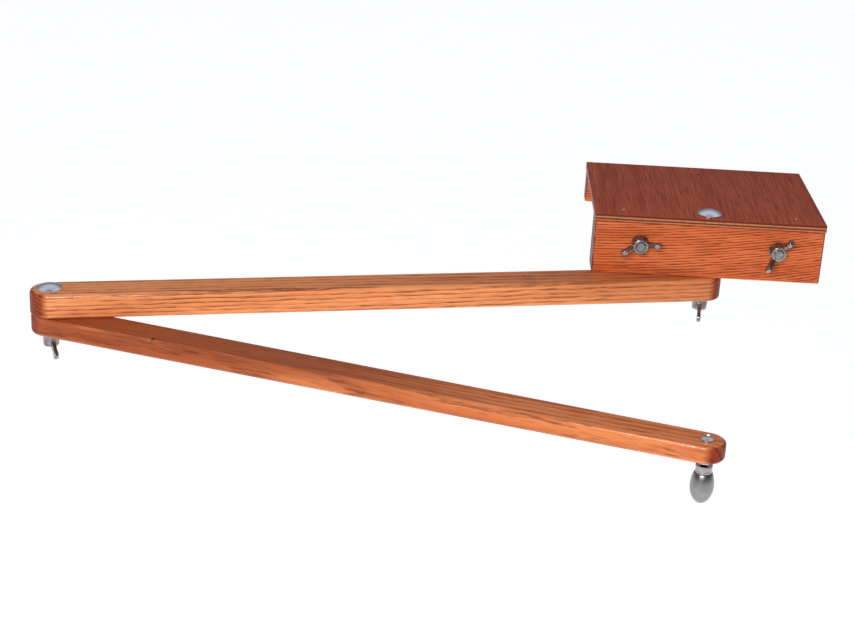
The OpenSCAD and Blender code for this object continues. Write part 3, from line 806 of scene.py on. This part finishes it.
def carriage_bolt(long, thread_long):
    """Its head seats at z = 0, dome up."""
    bm = bmesh.new()
    ease = 0.18 * MM
    profile = dome_over(HEAD_R, HEAD_HIGH - HEAD_RIM, HEAD_RIM, 16)[:-1]
    profile += [(HEAD_R - 0.04 * MM, HEAD_RIM + 0.04 * MM), (HEAD_R, HEAD_RIM - 0.10 * MM),
                (HEAD_R, ease), (HEAD_R - ease, 0), (0, 0)]
    lathe(bm, profile[::-1])
    # the square neck, its corners rolled off
    reach = math.sqrt(NECK_CORNER ** 2 - NECK_SIDE ** 2)
    square = []
    for k in range(4):
        c, s = math.cos(k * math.pi / 2), math.sin(k * math.pi / 2)
        square += [(NECK_SIDE * c - y * s, NECK_SIDE * s + y * c) for y in (-reach, reach)]
    above = ring_of(bm, square, 0.0)
    below = ring_of(bm, square, -NECK_LONG + 0.5 * MM)
    tip = ring_of(bm, [(x * 0.84, y * 0.84) for x, y in square], -NECK_LONG)
    bridge(bm, tip, below, above)
    bm.faces.new(tip[::-1])
    bm.faces.new(above)
    # plain shank, then the thread
    start, shank, sunk = -long + thread_long, BOLT_R - 0.1 * MM, -NECK_LONG + 0.2 * MM
    if start < -NECK_LONG:
        lathe(bm, [(0, start), (shank, start), (shank, sunk), (0, sunk)], steps=32)
    threaded(bm, min(start, -NECK_LONG + 0.1 * MM), -long)
    return bm


# %% Make the bolts and the screws
def pointing_back(x, y, z):
    """Turns what was built upright so that it points away from the front."""
    return Matrix.Translation((x, y, z)) @ Matrix.Rotation(-math.pi / 2, 4, "X")


for name, at, thread_long, body, turn in (("swivel", swivel, 26 * MM, "bracket", 0),
                                          ("elbow", elbow, 22 * MM, "upper_link", upper_turn)):
    low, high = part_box(f"{name}_bolt")
    seat = high.z - HEAD_HIGH
    piece(f"{name}_carriage_bolt", carriage_bolt(seat - low.z, thread_long), bright_zinc, body,
          f"{name}_bolt", standing(at, seat, turn))
for side in ("left", "right"):
    low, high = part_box(f"clamp_screw_{side}")
    seat = high.y - HEAD_HIGH
    long = seat - low.y
    along = pointing_back((low.x + high.x) / 2, seat, (low.z + high.z) / 2)
    piece(f"{side}_clamp_screw", carriage_bolt(long, long - 5 * MM), screw_steel, f"{side}_screw",
          f"clamp_screw_{side}", along)


# %% [markdown]
# ## The brads
# Two brads hold the plate on the apron while the glue sets. Their small heads are punched level
# with the veneer and catch the light, so each is a shallow dome over a thin shank.

# %% Make the brads
def added(bm, build, place):
    """Builds one more shape in a mesh and moves it to its place."""
    before = set(bm.verts)
    build(bm)
    bmesh.ops.transform(bm, matrix=place, verts=[v for v in bm.verts if v not in before])


def brad(bm):
    """Head at z = 0."""
    lathe(bm, [(0, -25 * MM), (0.7 * MM, -23.6 * MM), (0.7 * MM, -1.2 * MM), (BRAD_HEAD, -0.9 * MM),
               (BRAD_HEAD, 0.02 * MM), (0.8 * MM, 0.16 * MM), (0, 0.22 * MM)], steps=24)


bm = bmesh.new()
for x in brad_places:
    added(bm, brad, Matrix.Translation((x, swivel.y, plate_high.z)))
piece("plate_brad_pair", bm, bright_zinc, "bracket", "plate_brads")


# %% [markdown]
# ## Washers and tee nuts
# A stamped washer has one rounded rim and one sharp one, from the punch. A tee nut is pressed from
# sheet: a flange, a threaded barrel, and four prongs folded down out of the flange into the wood.

# %% Make the washers
def washer(outer, inner, thick):
    bm = bmesh.new()
    profile = [(inner, 0), (outer - 0.1 * MM, 0), (outer, 0.1 * MM)]
    profile += arc(outer - 0.45 * MM, thick - 0.45 * MM, 0.45 * MM, 0, 90, 5)
    profile += [(inner + 0.25 * MM, thick), (inner, thick - 0.25 * MM), (inner, 0)]
    closed_lathe(bm, profile)
    return bm


for name, at in (("swivel", swivel), ("elbow", elbow)):
    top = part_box(f"{name}_washer")[1].z
    turned_over = Matrix.Translation((at.x, at.y, top)) @ Matrix.Rotation(math.pi, 4, "X")
    piece(f"{name}_flat_washer", washer(8.75 * MM, BOLT_BORE, 1.6 * MM), bright_zinc,
          f"{name}_nut_seat", f"{name}_washer", turned_over)


# %% Make the tee nuts
def tee_nut(bm):
    """Flange on z = 0, barrel and prongs below."""
    bore, flange, thick = 4.02 * MM, 11 * MM, 1.5 * MM
    profile = [(bore, -TEE_DEEP), (TEE_BARREL - 0.3 * MM, -TEE_DEEP), (TEE_BARREL, -TEE_DEEP + 0.3 * MM),
               (TEE_BARREL, 0), (flange, 0)]
    profile += arc(flange - 0.5 * MM, thick - 0.5 * MM, 0.5 * MM, 0, 90, 4)
    profile += [(bore + 1.2 * MM, thick), (bore + 0.5 * MM, thick - 0.25 * MM),
                (bore, thick - 0.9 * MM), (bore, -TEE_DEEP)]
    closed_lathe(bm, profile)
    half = 1.5 * MM
    prong = [(-half, 0.01 * MM), (half, 0.01 * MM), (half * 0.8, -2 * MM), (0, -6 * MM),
             (-half * 0.8, -2 * MM)]
    for k in range(4):
        turn = Matrix.Rotation(math.radians(45 + 90 * k), 4, "Z")
        inner, outer = ([bm.verts.new(turn @ Vector((r, y, z))) for y, z in prong]
                        for r in (9.2 * MM, 10.4 * MM))
        bridge(bm, inner, outer)
        bm.faces.new(inner)
        bm.faces.new(outer[::-1])


bm = bmesh.new()
for s in screws:
    added(bm, tee_nut, pointing_back(s.x, apron_high.y, s.z))
piece("tee_nuts", bm, bright_zinc, "bracket", "clamp_tee_nuts")


# %% [markdown]
# ## Wing nuts
# A wing nut is one forging: a round flange, a tapered boss, and two wings that lean out and up and
# end in round pads. Where they meet, the die leaves soft fillets. Such fillets are hard to draw
# point by point. Instead the rough shapes are pushed together, turned into one even skin of small
# cells, and smoothed, which rounds every meeting line at once.

# %% Helpers for the wing nuts
PAD_X, PAD_Z, PAD_R, WING_HALF = 12.45 * MM, 12.3 * MM, 3.3 * MM, 1.4 * MM


def hull_of(bm, points):
    made = bmesh.ops.convex_hull(bm, input=[bm.verts.new(p) for p in points])
    inner = [g for g in made["geom_interior"] if isinstance(g, bmesh.types.BMVert)]
    bmesh.ops.delete(bm, geom=inner, context="VERTS")


def wing_nut_blank():
    """Seat at z = 0, wings up and along X."""
    bm = bmesh.new()
    lathe(bm, [(0, 0), (6.7 * MM, 0), (6.7 * MM, 1.3 * MM), (6.0 * MM, 1.7 * MM), (5.6 * MM, 8.7 * MM),
               (5.3 * MM, 9 * MM), (0, 9 * MM)], steps=64)
    stem = ((4.2 * MM, 1.6 * MM, 1.25), (4.2 * MM, 8.2 * MM, 1.25),
            (PAD_X + 0.6 * MM, PAD_Z - PAD_R * 0.97, 0.8), (PAD_X - PAD_R * 0.86, PAD_Z + 0.8 * MM, 0.8))
    for way in (1, -1):
        hull_of(bm, [(way * x, y, z) for x, z in circle(PAD_X, PAD_Z, PAD_R, 24)
                     for y in (-WING_HALF, WING_HALF)])
        hull_of(bm, [(way * x, y * width, z) for x, z, width in stem for y in (-WING_HALF, WING_HALF)])
    return bm


def forged(bm, cell, soften, target):
    """One skin over all the rough shapes, softened, then thinned out."""
    rough = as_object("rough", bm)
    skin = rough.modifiers.new("skin", "REMESH")
    skin.mode, skin.voxel_size = "VOXEL", cell
    smooth = rough.modifiers.new("soften", "SMOOTH")
    smooth.factor, smooth.iterations = 0.5, soften
    rough.modifiers.new("thin", "DECIMATE").ratio = target
    return read_back(rough)


# %% Shape one wing nut: forge it, then drill the bolt hole, which also cuts the seat
nut_hole = ((0, 0, -3 * MM), (0, 0, 14 * MM), BOLT_R + 0.05 * MM)
nut_mesh = bored(forged(wing_nut_blank(), 0.22 * MM, 7, 0.30), [nut_hole])
tag = edge_tag(nut_mesh)
for v in nut_mesh.verts:
    on_boss = math.hypot(v.co.x, v.co.y) < 6 * MM
    ring = max(0.0, 1 - abs(v.co.z - 8.9 * MM) / (0.9 * MM)) if on_boss else 0.0
    pad = min(1.0, max(0.0, (v.co.z - 12.5 * MM) / (2.5 * MM)))
    v[tag] = max(ring, pad)
print("wing nut shape:", len(nut_mesh.verts), "points")


# %% Make the four wing nuts
def wing_nut(name, place, body, node):
    piece(name, nut_mesh.copy(), wing_zinc, body, node, place, crease=55)


for side, turn, s in (("left", 15, screws[0]), ("right", 57, screws[1])):
    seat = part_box(f"clamp_wing_nut_{side}")[1].y
    spun = Matrix.Rotation(math.pi, 4, "X") @ Matrix.Rotation(math.radians(turn), 4, "Z")
    wing_nut(f"{side}_clamp_wing_nut", pointing_back(s.x, seat, s.z) @ spun, f"{side}_screw",
             f"clamp_wing_nut_{side}")
for name, at, turn in (("swivel", swivel, math.pi - math.radians(96)),
                       ("elbow", elbow, upper_turn - math.radians(75.5))):
    hanging = standing(at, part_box(f"{name}_wing_nut")[1].z, turn) @ Matrix.Diagonal((1, 1, -1, 1))
    wing_nut(f"{name}_pivot_wing_nut", hanging, f"{name}_nut", f"{name}_wing_nut")
nut_mesh.free()


# %% [markdown]
# ## The knob
# The knob hangs from a pan-head screw. Under the link come a thin hexagon nut, a short bare length
# of thread, a waisted collar with a dished top, and the egg-shaped grip. All of them are turned,
# so a lathe profile makes them. The grip's widest place is above its middle and its foot is flat.

# %% Make the screw
PAN_R, PAN_RIM, PAN_CAP = 4.75 * MM, 1.2 * MM, 1.4 * MM
CROSS_TOP = (2.9 * MM, 0.75 * MM, 4 * MM)  # half length, half width, height
CROSS_FOOT = (1.4 * MM, 0.45 * MM, 0.7 * MM)


def pan_screw(long):
    """Its head seats at z = 0, and a cross is sunk in it."""
    bm, cross = bmesh.new(), bmesh.new()
    dome = dome_over(PAN_R, PAN_CAP, PAN_RIM, 12)
    profile = [(0, dome[0][1])] + dome[1:-1]
    profile += [(PAN_R - 0.05 * MM, PAN_RIM + 0.08 * MM), (PAN_R, PAN_RIM - 0.15 * MM),
                (PAN_R, 0.15 * MM), (PAN_R - 0.15 * MM, 0), (0, 0)]
    lathe(bm, profile[::-1])
    head = as_object("head", bm)
    for k in range(2):
        points = [(x, y, z) for half, thin, z in (CROSS_TOP, CROSS_FOOT)
                  for x in (-half, half) for y in (-thin, thin)]
        hull_of(cross, [Matrix.Rotation(k * math.pi / 2, 3, "Z") @ Vector(p) for p in points])
    driver = as_object("cross", cross)
    cut_away(head, driver).use_self = True
    done = read_back(head, driver)
    threaded(done, 0.0, -long, radius=2.41 * MM, pitch=0.8 * MM, steps=24, rows=6, chamfer=0.4 * MM)
    return done


screw_low, screw_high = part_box("knob_screw")
knob_seat = screw_high.z - (PAN_RIM + PAN_CAP)
piece("knob_pan_screw", pan_screw(knob_seat - screw_low.z), head_zinc, "lower_link", "knob_screw",
      standing(knob, knob_seat, lower_turn))


# %% Make the hexagon nut
KNOB_BORE = 2.46 * MM


def hexagon_nut(flats, thick, bore):
    """A flat hexagon with its corners turned off, and a bore. Top at z = 0."""
    bm = bmesh.new()
    corner, turned, ease, lead = flats / math.sqrt(3), flats / 2 - 0.1 * MM, 0.35 * MM, 0.3 * MM
    points = []
    for i in range(24):
        k, share = divmod(i, 4)
        a, b = math.pi / 3 * k, math.pi / 3 * (k + 1)
        points.append(tuple(corner * (f(a) + (f(b) - f(a)) * share / 4) for f in (math.cos, math.sin)))
    levels = []
    for z, cap in ((0, turned), (-ease, corner), (-thick + ease, corner), (-thick, turned)):
        shares = [min(1, cap / math.hypot(x, y)) for x, y in points]
        levels.append(ring_of(bm, [(x * s, y * s) for (x, y), s in zip(points, shares)], z))
    hole = [ring_of(bm, circle(0, 0, r, 24), z) for r, z in (
        (bore + lead, 0), (bore, -lead), (bore, -thick + lead), (bore + lead, -thick))]
    bridge(bm, *levels)
    bridge(bm, *hole)
    bridge(bm, levels[0], hole[0])
    bridge(bm, hole[-1], levels[-1])
    return bm


nut_low, nut_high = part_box("knob_jam_nut")
piece("knob_hexagon_nut", hexagon_nut(9.5 * MM, nut_high.z - nut_low.z, KNOB_BORE), bright_zinc,
      "lower_link", "knob_jam_nut", standing(knob, nut_high.z, lower_turn))

# %% Make the collar
collar_low, collar_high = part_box("knob_ferrule")
r, tall = 5.6 * MM, collar_high.z - collar_low.z
profile = [(KNOB_BORE, 0), (r - 0.3 * MM, 0), (r - 0.05 * MM, 0.2 * MM), (r, 0.6 * MM)]
profile += [(r - 0.34 * MM * math.sin(math.pi * s) ** 1.3, (0.6 + 3.6 * s) * MM)
            for s in (0.15, 0.3, 0.5, 0.7, 0.85)]
profile += [(r, tall - 0.7 * MM), (r - 0.06 * MM, tall - 0.25 * MM), (r - 0.35 * MM, tall),
            (r - 0.75 * MM, tall - 0.05 * MM), (3.6 * MM, tall - 0.75 * MM),
            (KNOB_BORE + 0.1 * MM, tall - 0.85 * MM), (KNOB_BORE, tall - 1.0 * MM), (KNOB_BORE, 0)]
bm = bmesh.new()
closed_lathe(bm, profile)
piece("knob_collar", bm, dull_zinc, "lower_link", "knob_ferrule",
      standing(knob, collar_low.z, 0))

# %% Make the grip
GRIP_STEPS = 48
grip_low, grip_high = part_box("knob_grip")
tall, belly = grip_high.z - grip_low.z, 0.45
widest, neck, foot = 7.85 * MM, 5.9 * MM, 2.9 * MM


def grip_radius(down):
    """Two half ellipses that meet at the belly."""
    rise = belly * tall
    end, part = (neck, rise) if down < rise else (foot, tall - rise)
    reach = part / math.sqrt(1 - (end / widest) ** 2)
    return widest * math.sqrt(max(0.0, 1 - ((down - rise) / reach) ** 2))


profile = [(0, 0), (neck - 0.25 * MM, 0), (neck - 0.02 * MM, -0.2 * MM)]
profile += [(grip_radius(tall * i / GRIP_STEPS), -tall * i / GRIP_STEPS) for i in range(1, GRIP_STEPS)]
profile += [(foot + 0.35 * MM, -tall + 0.06 * MM), (foot - 0.2 * MM, -tall), (foot - 0.6 * MM, -tall),
            (1.9 * MM, -tall + 0.15 * MM), (0, -tall + 0.2 * MM)]
bm = bmesh.new()
lathe(bm, profile, steps=96, tag_edges=False)
piece("knob_turned_grip", bm, satin_aluminium, "lower_link", "knob_grip",
      standing(knob, grip_high.z, 0), crease=40)


# %% [markdown]
# ## The floor
# The floor is plain and pale, and lit through from below like a light table, so it stays white
# and throws a little light up at the undersides. It lies far enough below for the part to hang.

# %% Make the floor
bm = bmesh.new()
bmesh.ops.create_grid(bm, x_segments=24, y_segments=24, size=9)
floor = as_object("floor", bm)
floor.location = (0, 0, -1.2)
t = Tree("pale_floor")
t.shade({"Base Color": t.mix(t.cloud(t.own, scale=3, detail=3), (0.93, 0.93, 0.93), (0.90, 0.90, 0.90)),
         "Roughness": 0.9, "Emission Color": WHITE, "Emission Strength": 0.7})
floor.data.materials.append(t.material)
floor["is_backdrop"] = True
print("floor at", floor.location.z)

# %% [markdown]
# ## The sizes
# The detailed pieces must not be bigger than the solid model. The two boxes are written out so
# that they can be compared.

# %% Sizes
made_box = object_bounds()
for a, b in zip(cad_box, made_box):
    print("solid", [round(v, 4) for v in a], "detailed", [round(v, 4) for v in b])
